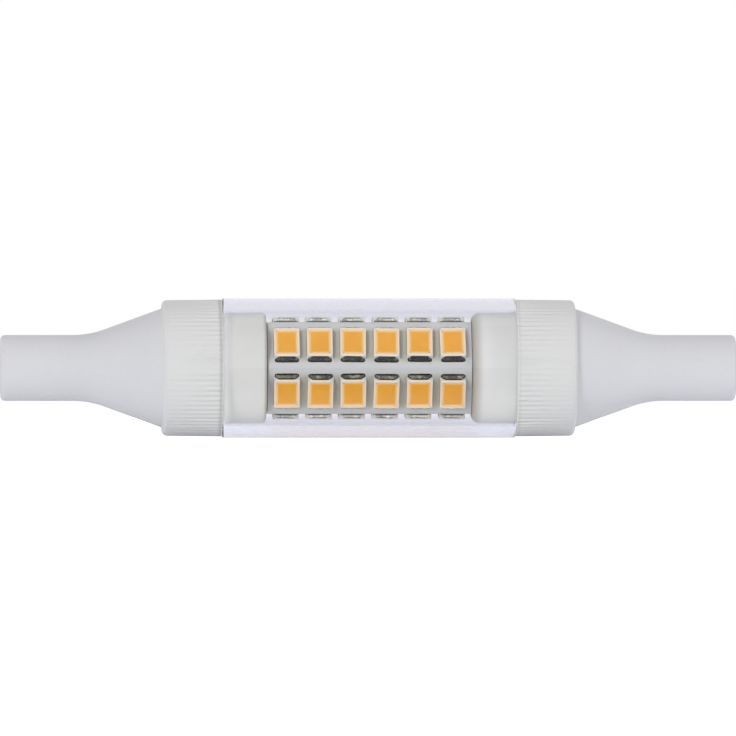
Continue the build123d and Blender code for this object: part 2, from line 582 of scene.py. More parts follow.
class Coat:
    """A new material with its output and its Principled shader."""

    def __init__(self, name: str) -> None:
        """Start the material with one Principled shader on its output.

        Args:
            name: Name of the material.
        """
        self.material = bpy.data.materials.new(name)
        self.material.use_nodes = True
        self.bench = Bench(self.material.node_tree)
        self.surface = self.bench.node("OutputMaterial").inputs["Surface"]
        self.shader = self.bench.node("BsdfPrincipled")
        self.colour = self.shader.inputs["Base Color"]
        self.bench.link(self.shader.outputs[0], self.surface)

    def place_group(self, tree: bpy.types.NodeTree, values: dict[str, object]) -> bpy.types.NodeOutputs:
        """Place a shared group with its own values.

        Args:
            tree: The group.
            values: Numbers and colours by input name.

        Returns:
            The outputs of the group.
        """
        made = self.bench.node("Group", node_tree=tree)
        for label, value in values.items():
            self.bench.feed(made.inputs[label], value)
        return made.outputs

    def border(self, effects: Effects, field: Field) -> Socket:
        """Distance inwards from the border of a field.

        Args:
            effects: Shared node groups.
            field: The field.

        Returns:
            The distance in millimetres.
        """
        sizes = {"Width": field.width, "Length": field.length, "Corner": field.corner}
        return self.place_group(effects.border, sizes)["Distance"]

    def bump(self, height: Socket, distance_mm: float, strength: float) -> None:
        """Feed a height to the shader's normal.

        Args:
            height: Height from 0 to 1.
            distance_mm: Height of 1 in millimetres.
            strength: Share of the bump.
        """
        made = self.bench.node("Bump")
        made.inputs["Strength"].default_value = strength
        made.inputs["Distance"].default_value = distance_mm * MM
        self.bench.link(height, made.inputs["Height"])
        self.bench.link(made.outputs["Normal"], self.shader.inputs["Normal"])


@dataclass(frozen=True)
class SpeckledFinish:
    """A fired, moulded or printed surface with fine speckle and faint clouds."""

    name: str
    base: Rgb
    speck: Rgb
    cloud: Rgb
    smooth: float
    rough: float
    grain_per_mm: float = 3.0
    clouds_per_mm: float = 0.15
    speck_share: float = 0.3
    cloud_share: float = 0.5
    bump_mm: float = 0.01
    bump_strength: float = 0.3
    metallic: float = 0.0
    specular: float = 0.5

    def build(self, effects: Effects) -> Material:
        """Build the material.

        Args:
            effects: Shared node groups.

        Returns:
            The finished material.
        """
        coat = Coat(self.name)
        speckle = coat.place_group(
            effects.speckle,
            {
                "Base": self.base,
                "Speck": self.speck,
                "Cloud": self.cloud,
                "Grain per mm": self.grain_per_mm,
                "Clouds per mm": self.clouds_per_mm,
                "Speck Share": self.speck_share,
                "Cloud Share": self.cloud_share,
                "Smooth": self.smooth,
                "Rough": self.rough,
            },
        )
        coat.bench.link(speckle["Roughness"], coat.shader.inputs["Roughness"])
        coat.bump(speckle["Height"], self.bump_mm, self.bump_strength)
        coat.shader.inputs["Metallic"].default_value = self.metallic
        coat.shader.inputs["Specular IOR Level"].default_value = self.specular
        coat.bench.link(self.colour(coat, speckle["Color"], effects), coat.colour)
        return coat.material

    def colour(self, coat: Coat, grain: Socket, effects: Effects) -> Socket:
        """Colour of the surface, here its plain speckle.

        Args:
            coat: Material under construction.
            grain: Its speckled colour.
            effects: Shared node groups.

        Returns:
            The colour.
        """
        return grain


@dataclass(frozen=True)
class CeramicFinish(SpeckledFinish):
    """Fired ceramic: cool on the neck and cone, neutral on the collar, with painted shade and light in the
    glass.

    The spigots carry painted shade at their rims by the board and all over the left spigot, and painted
    light on their undersides and beside the left seam. The spans and bands are distances from the lamp's
    middle, but for the underside, which goes by height.
    """

    neck_tone: Rgb = (0.905, 0.903, 0.945)
    neck_mm: Span = (20.5, 23.5)
    collar_tone: Rgb = (0.945, 0.942, 0.945)
    collar_mm: Span = (15.701, 15.706)
    # painted shade: the whole left spigot is made darker than the right one
    left_spigot_painted_shade: Rgb = (0.9, 0.905, 0.89)
    right_spigot_tone: Rgb = WHITE
    # painted light: the spigots are made lighter towards their undersides
    underside_mm: Span = (2.0, -5.0)
    underside_painted_light: Rgb = (1.12, 1.12, 1.12)
    # painted shade: warm brown darkening of the spigot rims next to the board end, wider on the right
    painted_crevice_shade: Rgb = (0.62, 0.58, 0.52)
    rim_mm: float = 10.9
    left_crevice_shade_mm: float = 0.45
    right_crevice_shade_mm: float = 1.35
    # painted light: a light band on the left spigot beside the seam, lifting the collar's shadow there
    painted_seam_light: Rgb = (1.26, 1.26, 1.27)
    painted_seam_light_mm: Band = (14.55, 15.2, 15.6, 15.66)
    left_line: Rgb = (0.72, 0.72, 0.72)
    left_line_mm: Band = (15.6, 15.68, 15.701, 15.706)
    right_line: Rgb = (0.86, 0.86, 0.86)
    right_line_mm: Band = (15.36, 15.48, 15.56, 15.69)
    left_joint: Rgb = (0.72, 0.72, 0.72)
    right_joint: Rgb = (0.88, 0.88, 0.88)
    joint_mm: Band = (15.701, 15.706, 15.86, 16.1)

    def colour(self, coat: Coat, grain: Socket, effects: Effects) -> Socket:
        """Colour of the surface, by its place on the cap.

        Args:
            coat: Material under construction.
            grain: Its speckled colour.
            effects: Shared node groups.

        Returns:
            The colour.
        """
        bench = coat.bench
        place = bench.place()
        along = bench.math("ABSOLUTE", place["X"])
        on_right = bench.math("GREATER_THAN", place["X"], 0.0)
        on_left = bench.math("SUBTRACT", 1.0, on_right)
        # painted shade at the spigot rims fades out towards the collar
        spread = bench.math("MULTIPLY", on_right, (self.right_crevice_shade_mm - self.left_crevice_shade_mm) * MM)
        crevice_shade_end = bench.math("ADD", spread, (self.rim_mm + self.left_crevice_shade_mm) * MM)
        past_crevice_shade = bench.ramp(along, self.rim_mm * MM, crevice_shade_end)
        # painted shade over the left spigot
        spigot = bench.blend(on_right, self.left_spigot_painted_shade, self.right_spigot_tone)
        # painted light towards the undersides of the spigots
        below = bench.ramp(place["Z"], *metres(self.underside_mm))
        lit = bench.times(spigot, bench.blend(below, WHITE, self.underside_painted_light))
        inside = bench.blend(past_crevice_shade, self.painted_crevice_shade, lit)
        # painted light beside the left seam, then dark lines at both seams
        for tone, band_mm, side in (
            (self.painted_seam_light, self.painted_seam_light_mm, on_left),
            (self.left_line, self.left_line_mm, on_left),
            (self.right_line, self.right_line_mm, on_right),
        ):
            share = bench.math("MULTIPLY", bench.band(along, metres(band_mm)), side)
            inside = bench.blend(share, inside, tone)
        joint = bench.blend(on_right, self.left_joint, self.right_joint)
        collar = bench.blend(bench.band(along, metres(self.joint_mm)), self.collar_tone, joint)
        outside = bench.blend(bench.ramp(along, *metres(self.neck_mm)), collar, self.neck_tone)
        return bench.times(grain, bench.blend(bench.ramp(along, *metres(self.collar_mm)), inside, outside))


@dataclass(frozen=True)
class BoardFinish(SpeckledFinish):
    """White solder mask, with warm painted shade between the LEDs of each row."""

    # painted shade: warm darkening of the board between the LEDs
    between: Rgb = (0.88, 0.85, 0.73)
    row_end_mm: Span = (10.0, 8.9)
    flat_edge_degrees: Span = (4.0, 12.0)

    def colour(self, coat: Coat, grain: Socket, effects: Effects) -> Socket:
        """Colour of the surface, by its place in the rows.

        Args:
            coat: Material under construction.
            grain: Its speckled colour.
            effects: Shared node groups.

        Returns:
            The colour.
        """
        bench = coat.bench
        place = bench.place()
        # painted shade along each flat, between the LEDs of its row
        in_row = bench.ramp(bench.math("ABSOLUTE", place["X"]), *metres(self.row_end_mm))
        turn = bench.math("ARCTAN2", place["Z"], place["Y"])
        from_fold = bench.math("PINGPONG", turn, math.pi / len(Row))
        on_flat = bench.ramp(from_fold, *(math.radians(degrees) for degrees in self.flat_edge_degrees))
        return bench.times(grain, bench.blend(bench.math("MULTIPLY", in_row, on_flat), WHITE, self.between))


@dataclass(frozen=True)
class ResinFinish(SpeckledFinish):
    """White package resin, with a painted warm glow of phosphor light round its window, darker on its ends,
    painted shade on its sides.
    """

    # painted light: warm glow of the phosphor on the resin round the window
    warm: Rgb = (1.0, 0.75, 0.5)
    warm_reach_mm: float = 0.4
    end_tone: Rgb = (0.62, 0.625, 0.64)
    # painted shade: the package sides are made dark, as if shaded
    painted_flank_shade: Rgb = (0.38, 0.36, 0.3)
    end_past_mm: float = 5.0
    flank_past_mm: float = 15.0

    def colour(self, coat: Coat, grain: Socket, effects: Effects) -> Socket:
        """Colour of the surface, by its distance from the window.

        Args:
            coat: Material under construction.
            grain: Its speckled colour.
            effects: Shared node groups.

        Returns:
            The colour.
        """
        bench = coat.bench
        distance = coat.border(effects, WINDOW)
        # painted warm glow of phosphor light near the window
        near = bench.ramp(distance, -self.warm_reach_mm, 0.0)
        top = bench.blend(near, grain, self.warm, "MULTIPLY")
        past = bench.math("MULTIPLY", distance, -1.0)
        on_end = bench.math("GREATER_THAN", past, self.end_past_mm)
        # painted shade on the package flanks
        on_flank = bench.math("GREATER_THAN", past, self.flank_past_mm)
        return bench.blend(on_end, top, bench.blend(on_flank, self.end_tone, self.painted_flank_shade))


@dataclass(frozen=True)
class PhosphorFinish(SpeckledFinish):
    """Phosphor gel that pales towards the rim of its window."""

    rim: Rgb = (0.88, 0.6, 0.31)
    rim_reach_mm: float = 0.24

    def colour(self, coat: Coat, grain: Socket, effects: Effects) -> Socket:
        """Colour of the surface, by its distance from the rim.

        Args:
            coat: Material under construction.
            grain: Its speckled colour.
            effects: Shared node groups.

        Returns:
            The colour.
        """
        inner = coat.bench.ramp(coat.border(effects, WINDOW), 0.0, self.rim_reach_mm)
        return coat.bench.blend(inner, self.rim, grain)


@dataclass(frozen=True)
class SolderFinish(SpeckledFinish):
    """Reflowed solder in painted reflections: near black along its outline, paler streaks in the middle,
    lighter on outer rows.
    """

    outline_mm: Span = (0.052, 0.17)
    # painted light: solder of the outer rows is made lighter, as if mirroring bright surroundings
    outer_row_painted_light: Rgb = (2.4, 2.6, 3.05)
    outer_mm: Span = (3.6, 4.4)

    def colour(self, coat: Coat, grain: Socket, effects: Effects) -> Socket:
        """Colour of the surface, by its distance from the outline and by its row.

        Args:
            coat: Material under construction.
            grain: Its speckled colour.
            effects: Shared node groups.

        Returns:
            The colour.
        """
        bench = coat.bench
        # painted reflection: near-black outline round paler grain that stands for highlights
        inner = bench.ramp(coat.border(effects, SOLDER_SLOPE), *self.outline_mm)
        height = bench.math("ABSOLUTE", bench.place()["Z"])
        # painted light on the solder of the outer rows
        on_outer_row = bench.ramp(height, *metres(self.outer_mm))
        gain = bench.blend(on_outer_row, WHITE, self.outer_row_painted_light)
        return bench.times(bench.blend(inner, self.cloud, grain), gain)


@dataclass(frozen=True)
class GlassFinish:
    """Clear drawn glass, faintly lavender where it is seen at a slant, which lets lamp light through."""

    name: str = "clear_tube_glass"
    slanted: Rgb = (0.53, 0.535, 0.65)
    slant_span: Span = (0.22, 0.5)
    edge_span: Span = (0.66, 0.9)
    edge_share: float = 0.3
    ior: float = 1.46

    def build(self) -> Material:
        """Build the material.

        Returns:
            The finished material.
        """
        coat = Coat(self.name)
        bench = coat.bench
        for label, value in (("Roughness", 0.0), ("IOR", self.ior), ("Transmission Weight", 1.0)):
            coat.shader.inputs[label].default_value = value
        facing = bench.node("LayerWeight").outputs["Facing"]
        edge = bench.math("MULTIPLY", bench.ramp(facing, *self.edge_span), self.edge_share)
        tinted = bench.math("SUBTRACT", bench.ramp(facing, *self.slant_span), edge)
        bench.link(bench.blend(tinted, WHITE, self.slanted), coat.colour)
        path = bench.node("LightPath")
        clear = bench.node("BsdfTransparent").outputs[0]
        surface = coat.shader.outputs[0]
        for ray in ("Is Shadow Ray", "Is Diffuse Ray"):
            surface = bench.mix_shaders(path.outputs[ray], surface, clear)
        bench.link(surface, coat.surface)
        return coat.material


@dataclass
class EndCap:
    """Ceramic cap: neck with recess, cone, ribbed collar and the spigot inside the glass."""

    end: End
    neck_radius: float = 3.5
    neck_inner_x: float = 29.6
    neck_blend: float = 8.5
    end_round: float = 0.5
    cone_inner_x: float = 21.9
    cone_radius: float = 6.32
    foot_radius: float = 7.19
    foot_round: float = 0.55
    foot_slack: float = 0.01
    crease_round: float = 0.12
    glass_edge_round: float = 0.1
    spigot_radius: float = 5.88
    left_spigot_round: float = 0.5
    left_spigot_reach: float = 0.08
    right_spigot_round: float = 1.0
    right_spigot_reach: float = 0.12
    hollow_x: float = 23.4
    hollow_clearance: float = 0.06
    bore_radius: float = 1.2
    seat_radius: float = 1.98
    recess_radius: float = 2.25
    recess_round: float = 0.1
    mouth_round: float = 0.28
    rib_count: int = 78
    rib_depth: float = 0.2
    rib_scatter: float = 0.6
    rib_steps: int = 6
    rib_rings: int = 18
    rib_least_reach: float = 0.35
    rib_most_reach: float = 1.15
    foot_rib_share: float = 0.16
    seed: int = 11
    plain_at_glass: float = 0.25
    plain_at_foot: float = 0.65
    segments: int = 6

    def __post_init__(self) -> None:
        """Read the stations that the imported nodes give, and draw the grooves."""
        name = self.end.name.lower()
        self.node = f"{name}_cap"
        cap_low, cap_high = box_mm(self.node)
        contact_low, contact_high = box_mm(f"{name}_contact")
        _, glass_high = box_mm("glass_tube")
        _, driver_high = box_mm("driver_board")
        self.spigot_x, self.end_x = sorted((abs(cap_low.x), abs(cap_high.x)))
        self.seat_x, self.face_x = sorted((abs(contact_low.x), abs(contact_high.x)))
        self.collar_x = glass_high.x
        self.collar_radius = cap_high.z
        self.hollow_radius = math.hypot(driver_high.y, driver_high.z) + self.hollow_clearance
        on_left = self.end is End.LEFT
        self.spigot_round = self.left_spigot_round if on_left else self.right_spigot_round
        self.spigot_x -= self.left_spigot_reach if on_left else self.right_spigot_reach
        draw = random.Random(self.seed + self.end.value)
        grooves = range(self.rib_count)
        self.groove_depths = [self.rib_depth * (1.0 - self.rib_scatter * draw.random()) for _ in grooves]
        self.groove_reaches = [draw.uniform(self.rib_least_reach, self.rib_most_reach) for _ in grooves]

    def corners(self) -> list[Corner]:
        """List the corners of the cap's section.

        Returns:
            The corners for the right end, in order round the section.
        """
        return [
            Corner(self.seat_x, self.bore_radius),
            Corner(self.seat_x, self.seat_radius),
            Corner(self.face_x, self.seat_radius),
            Corner(self.face_x, self.recess_radius, self.recess_round),
            Corner(self.end_x, self.recess_radius, self.mouth_round),
            Corner(self.end_x, self.neck_radius, self.end_round),
            Corner(self.neck_inner_x, self.neck_radius, self.neck_blend),
            Corner(self.cone_inner_x, self.cone_radius, self.crease_round),
            Corner(self.cone_inner_x, self.foot_radius, self.foot_round),
            Corner(self.collar_x, self.collar_radius, self.glass_edge_round),
            Corner(self.collar_x, self.spigot_radius, self.crease_round),
            Corner(self.spigot_x, self.spigot_radius, self.spigot_round),
            Corner(self.spigot_x, self.hollow_radius, self.crease_round),
            Corner(self.hollow_x, self.hollow_radius),
            Corner(self.hollow_x, self.bore_radius),
        ]

    def rib_share(self, x: float, reach: float) -> float:
        """Depth of a groove at a place along the collar.

        Args:
            x: Distance from the lamp's middle.
            reach: Share of the collar's length over which the groove fades to its shallow end.

        Returns:
            Share of the groove's full depth, 0 where the collar is plain.
        """
        from_glass = x - self.collar_x
        from_foot = self.cone_inner_x - x
        fade = smooth_step(1.0 - from_glass / (reach * (self.cone_inner_x - self.collar_x)))
        depth = self.foot_rib_share + (1.0 - self.foot_rib_share) * fade
        ends = smooth_step(from_glass / self.plain_at_glass) * smooth_step(from_foot / self.plain_at_foot)
        return depth * ends

    def press_ribs(self, mesh: Mesh) -> None:
        """Sink the grooves between the ribs into the collar.

        Args:
            mesh: The spun cap.
        """
        for vert in mesh.verts:
            radius = math.hypot(vert.co.y, vert.co.z)
            on_collar = self.collar_x < vert.co.x < self.cone_inner_x and radius > self.cone_radius
            if not on_collar:
                continue
            turn = math.atan2(vert.co.z, vert.co.y) % math.tau
            groove = 0.5 - 0.5 * math.cos(self.rib_count * turn)
            number = int(turn / math.tau * self.rib_count) % self.rib_count
            share = self.rib_share(vert.co.x, self.groove_reaches[number])
            vert.co.yz *= 1.0 - self.groove_depths[number] * share * groove / radius

    def build(self, finish: Material) -> None:
        """Turn the cap, press its ribs and dress it.

        Args:
            finish: Ceramic material.
        """
        mesh = wire_outline(self.corners(), self.segments)
        collar_from = self.foot_radius - self.foot_slack
        collar = [
            edge
            for edge in mesh.edges
            if min(vert.co.z for vert in edge.verts) > collar_from and edge.calc_length() > LONG_MM
        ]
        bmesh.ops.subdivide_edges(mesh, edges=collar, cuts=self.rib_rings)
        spin_about_lamp(mesh, self.rib_count * self.rib_steps)
        self.press_ribs(mesh)
        bring_to_end(mesh, self.end)
        make_piece(mesh, f"{self.node}_body", finish, [self.node])


@dataclass
class Contact:
    """Plated contact button at the bottom of a cap's recess."""

    end: End
    edge_round: float = 0.2
    dimple_round: float = 0.1
    dimple_radius: float = 0.75
    dimple_depth: float = 0.16
    steps: int = 64
    segments: int = 4

    def build(self, finish: Material) -> None:
        """Turn the button and dress it.

        Args:
            finish: Plated metal.
        """
        node = f"{self.end.name.lower()}_contact"
        low, high = box_mm(node)
        inner, outer = sorted((abs(low.x), abs(high.x)))
        dimple_x = outer - self.dimple_depth
        corners = [
            Corner(inner, 0.0),
            Corner(inner, high.z),
            Corner(outer, high.z, self.edge_round),
            Corner(outer, self.dimple_radius, self.dimple_round),
            Corner(dimple_x, self.dimple_radius / 2, self.dimple_round),
            Corner(dimple_x, 0.0),
        ]
        mesh = wire_outline(corners, self.segments)
        axis_edges = [edge for edge in mesh.edges if max(vert.co.z for vert in edge.verts) < MERGE_MM]
        bmesh.ops.delete(mesh, geom=axis_edges, context="EDGES")
        spin_about_lamp(mesh, self.steps)
        bring_to_end(mesh, self.end)
        make_piece(mesh, f"{node}_button", finish, [node])


@dataclass
class GlassTube:
    """Clear tube with fire-polished rims between the two collars."""

    wall: float = 1.2
    left_rim_round: float = 0.25
    right_rim_round: float = 0.12
    rim_gap: float = 0.01
    steps: int = 512
    segments: int = 8

    def build(self, finish: Material) -> None:
        """Turn the tube and dress it.

        Args:
            finish: Glass material.
        """
        _, high = box_mm("glass_tube")
        rim_x = high.x - self.rim_gap
        outer = high.z
        bore = outer - self.wall
        corners = [
            Corner(-rim_x, bore, self.left_rim_round),
            Corner(-rim_x, outer, self.left_rim_round),
            Corner(rim_x, outer, self.right_rim_round),
            Corner(rim_x, bore, self.right_rim_round),
        ]
        mesh = wire_outline(corners, self.segments)
        spin_about_lamp(mesh, self.steps)
        make_piece(mesh, "glass_tube_clear", finish, ["glass_tube"])


@dataclass
class LedBoard:
    """White sheet folded to one flat for each row, open along the fold at the back."""

    thickness: float = 0.5
    fold_radius: float = 1.2
    fold_segments: int = 9

    def build(self, finish: Material) -> None:
        """Fold the sheet and dress it.

        Args:
            finish: White board material.
        """
        low, high = box_mm("led_board")
        half_turn = math.pi / len(Row)
        upright = Matrix.Rotation(math.pi / 2, 3, "Y")
        mesh = bmesh.new()
        bmesh.ops.create_circle(mesh, segments=len(Row), radius=high.z / math.cos(half_turn))
        bmesh.ops.rotate(mesh, verts=mesh.verts[:], cent=(0, 0, 0), matrix=upright)
        bmesh.ops.translate(mesh, verts=mesh.verts[:], vec=(low.x, 0.0, 0.0))
        grown = bmesh.ops.extrude_edge_only(mesh, edges=mesh.edges[:])
        new_verts = [item for item in grown["geom"] if isinstance(item, bmesh.types.BMVert)]
        bmesh.ops.translate(mesh, verts=new_verts, vec=(high.x - low.x, 0.0, 0.0))
        folds = [edge for edge in mesh.edges if abs(edge.verts[0].co.x - edge.verts[1].co.x) > MERGE_MM]
        bevel_edges(mesh, folds, self.fold_radius * math.tan(half_turn), self.fold_segments)
        back = max(mesh.faces, key=lambda face: face.calc_center_median().y)
        bmesh.ops.delete(mesh, geom=[back], context="FACES")
        bmesh.ops.recalc_face_normals(mesh, faces=mesh.faces[:])
        if top_face(mesh).normal.z < 0.0:
            bmesh.ops.reverse_faces(mesh, faces=mesh.faces[:])
        bmesh.ops.solidify(mesh, geom=mesh.faces[:], thickness=self.thickness)
        make_piece(mesh, "led_board_sheet", finish, ["led_board"])


@dataclass(frozen=True)
class LedPlace:
    """Where one LED sits: its node and the turn and shift from its own frame to the lamp's."""

    node: str
    matrix: Matrix


@dataclass
class LedArray:
    """Chip LEDs of all rows with their phosphor and solder."""

    cup_depth: float = 0.35
    cup_slope: float = 0.16
    draft: float = 0.05
    corner_round: float = 0.16
    corner_segments: int = 3
    rim_round: float = 0.05
    rim_segments: int = 2
    rim_angle: float = 0.5
    package_sharp_degrees: float = 30.0
    fill_dip: float = 0.03
    fill_segments: int = 5
    upright: float = 0.95
    end_shift: float = 4.0
    flank_shift: float = 10.0
    solder_crown: float = 1.9
    solder_height: float = 0.5
    solder_tuck: float = 0.06
    solder_corner_share: float = 0.42
    solder_segments: int = 4
    solder_sharp_degrees: float = 50.0
    toe_draw: float = 0.12
    toe_drop_share: float = 0.62
    crown_from_share: float = 0.2
    crown_rise_share: float = 0.65
    crown_round: float = 0.07
    crown_segments: int = 3
    place_scatter: float = 0.04
    turn_scatter: float = 1.0
    columns: int = 6
    seed: int = 7

    def __post_init__(self) -> None:
        """Read the size of an LED and the board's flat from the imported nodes, and place all LEDs."""
        low, high = box_mm("led_b1")
        self.width = high.x - low.x
        self.length = high.y - low.y
        self.height = high.z - low.z
        self.flat_z = low.z
        self.narrow = 1.0 - 2 * self.cup_slope / WINDOW.width
        self.places = self.find_places()

    def find_places(self) -> list[LedPlace]:
        """Work out every LED's place, with the small scatter of a soldered board.

        Returns:
            One place for each LED.
        """
        draw = random.Random(self.seed)
        places = []
        for row in Row:
            turn = Matrix.Rotation(math.radians(row.value), 4, "X")
            for column in range(1, self.columns + 1):
                node = f"led_{row.name.lower()}{column}"
                low, high = box_mm(node)
                x = (low.x + high.x) / 2 + draw.uniform(-1, 1) * self.place_scatter
                y = draw.uniform(-1, 1) * self.place_scatter
                skew = Matrix.Rotation(math.radians(draw.uniform(-1, 1) * self.turn_scatter), 4, "Z")
                shift = Matrix.Translation((x, y, self.flat_z))
                places.append(LedPlace(node, turn @ shift @ skew))
        return places

    def package_mesh(self) -> Mesh:
        """Model one package in its own frame, its foot on Z = 0.

        Returns:
            The package with its drafted sides, rounded corners and cup.
        """
        mesh = block((self.width, self.length, self.height), 0.0, self.height / 2)
        top_verts = [vert for vert in mesh.verts if vert.co.z > self.height / 2]
        taper = (1.0 - 2 * self.draft / self.width, 1.0 - 2 * self.draft / self.length, 1.0)
        bmesh.ops.scale(mesh, vec=taper, verts=top_verts)
        bevel_uprights(mesh, self.corner_round, self.corner_segments)
        top = top_face(mesh)
        border = (self.width - 2 * self.draft - WINDOW.width) / 2
        bmesh.ops.inset_region(mesh, faces=[top], thickness=border, use_even_offset=True)
        stretch = WINDOW.length / (self.length - 2 * self.draft - 2 * border)
        bmesh.ops.scale(mesh, vec=(1.0, stretch, 1.0), verts=top.verts[:])
        floor = bmesh.ops.extrude_discrete_faces(mesh, faces=[top])["faces"][0]
        bmesh.ops.scale(mesh, vec=(self.narrow, self.narrow, 1.0), verts=floor.verts[:])
        bmesh.ops.translate(mesh, vec=(0.0, 0.0, -self.cup_depth), verts=floor.verts[:])
        rims = [
            edge
            for edge in mesh.edges
            if all(abs(vert.co.z - self.height) < MERGE_MM for vert in edge.verts)
            and edge.calc_face_angle(0.0) > self.rim_angle
        ]
        bevel_edges(mesh, rims, self.rim_round, self.rim_segments)
        bmesh.ops.recalc_face_normals(mesh, faces=mesh.faces[:])
        self.map_window(mesh)
        return mesh

    def map_window(self, mesh: Mesh) -> None:
        """Give a mesh a UV map that spans the window from 0 to 1, with the upright sides laid far past it.

        Args:
            mesh: Mesh in the LED's own frame.
        """
        field_map = mesh.loops.layers.uv.new("window")
        mesh.normal_update()
        for face in mesh.faces:
            aside = self.flank_shift if abs(face.normal.x) > self.upright else 0.0
            ahead = self.end_shift if abs(face.normal.y) > self.upright else 0.0
            for loop in face.loops:
                spot = loop.vert.co
                across = spot.x / WINDOW.width + 0.5 + aside
                loop[field_map].uv = (across, spot.y / WINDOW.length + 0.5 + ahead)

    def fill_mesh(self) -> Mesh:
        """Model the phosphor of one LED in the LED's own frame, with a UV map over its window.

        Returns:
            The fill.
        """
        level = self.height - self.fill_dip
        bottom = self.height - self.cup_depth
        middle = (level + bottom) / 2
        mesh = block((WINDOW.width, WINDOW.length, level - bottom), 0.0, middle)
        floor_verts = [vert for vert in mesh.verts if vert.co.z < middle]
        bmesh.ops.scale(mesh, vec=(self.narrow, self.narrow, 1.0), verts=floor_verts)
        bevel_uprights(mesh, WINDOW.corner, self.fill_segments)
        top = top_face(mesh)
        bmesh.ops.inset_region(mesh, faces=[top], thickness=self.rim_round * 2, use_even_offset=True)
        bmesh.ops.translate(mesh, vec=(0.0, 0.0, -self.fill_dip / 2), verts=top.verts[:])
        self.map_window(mesh)
        return mesh

    def fillet_mesh(self, end: End) -> Mesh:
        """Model one solder fillet in the LED's own frame, with a UV map over its slope.

        Args:
            end: Which end of the package it lies against.

        Returns:
            The fillet.
        """
        width, depth, height = SOLDER_SLOPE.width, SOLDER_SLOPE.length, self.solder_height
        mesh = block((width, depth, height), depth / 2, height / 2)
        heads = [vert for vert in mesh.verts if vert.co.z > MERGE_MM]
        bmesh.ops.scale(mesh, vec=(self.solder_crown / width, 1.0, 1.0), verts=heads)
        toes = [vert for vert in heads if vert.co.y > depth / 2]
        bmesh.ops.translate(mesh, vec=(0.0, -self.toe_draw, -height * self.toe_drop_share), verts=toes)
        bevel_uprights(mesh, depth * self.solder_corner_share, self.solder_segments)
        crown = [
            edge
            for edge in mesh.edges
            if all(vert.co.z > height * self.crown_from_share for vert in edge.verts)
            and edge_rise(edge) < height * self.crown_rise_share
        ]
        bevel_edges(mesh, crown, self.crown_round, self.crown_segments)
        bmesh.ops.recalc_face_normals(mesh, faces=mesh.faces[:])
        field_map = mesh.loops.layers.uv.new("slope")
        for face in mesh.faces:
            for loop in face.loops:
                spot = loop.vert.co
                loop[field_map].uv = (spot.x / width + 0.5, spot.y / depth)
        bmesh.ops.translate(mesh, vec=(0.0, self.length / 2 - self.solder_tuck, 0.0), verts=mesh.verts[:])
        if end is End.LEFT:
            half_turn = Matrix.Rotation(math.pi, 3, "Z")
            bmesh.ops.rotate(mesh, verts=mesh.verts[:], cent=(0, 0, 0), matrix=half_turn)
        return mesh

    @staticmethod
    def add_copy(target: Mesh, source: Mesh, matrix: Matrix) -> None:
        """Add a placed copy of one mesh to another.

        Args:
            target: Mesh that grows.
            source: Mesh to copy. It is freed here.
            matrix: Place of the copy.
        """
        bmesh.ops.transform(source, matrix=matrix, space=Matrix(), verts=source.verts[:])
        data = bpy.data.meshes.new("copy")
        source.to_mesh(data)
        source.free()
        target.from_mesh(data)
        bpy.data.meshes.remove(data)

    def build(self, resin: Material, gel: Material, solder: Material) -> None:
        """Make every package, the phosphor and the solder, and dress them.

        Args:
            resin: Finish of the packages.
            gel: Finish of the phosphor.
            solder: Finish of the solder.
        """
        fills = bmesh.new()
        fillets = bmesh.new()
        sharp = self.package_sharp_degrees
        for place in self.places:
            package = self.package_mesh()
            bmesh.ops.transform(package, matrix=place.matrix, space=Matrix(), verts=package.verts[:])
            make_piece(package, f"{place.node}_package", resin, [place.node], sharp)
            self.add_copy(fills, self.fill_mesh(), place.matrix)
            for end in End:
                self.add_copy(fillets, self.fillet_mesh(end), place.matrix)
        make_piece(fills, "led_phosphor_gel", gel, ["led_phosphor"], sharp)
        sharp = self.solder_sharp_degrees
        make_piece(fillets, "led_solder_fillets", solder, ["led_solder"], sharp)


@dataclass(frozen=True)
class InnerParts:
    """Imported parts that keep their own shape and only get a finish, listed by their finish."""

    finishes: tuple[tuple[SpeckledFinish, tuple[str, ...]], ...]

    def dress(self, effects: Effects) -> None:
        """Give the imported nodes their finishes.

        Args:
            effects: Shared node groups.
        """
        for finish, nodes in self.finishes:
            material = finish.build(effects)
            for node in nodes:
                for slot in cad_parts[node].material_slots:
                    slot.material = material
                log.info("%s: keeps its packed shape", node)


@dataclass(frozen=True)
class Softbox:
    """A soft light: its direction in degrees, its distance and size in metres, and how much it lights."""

    name: str
    azimuth: float
    elevation: float
    distance: float
    width: float
    height: float
    level: float


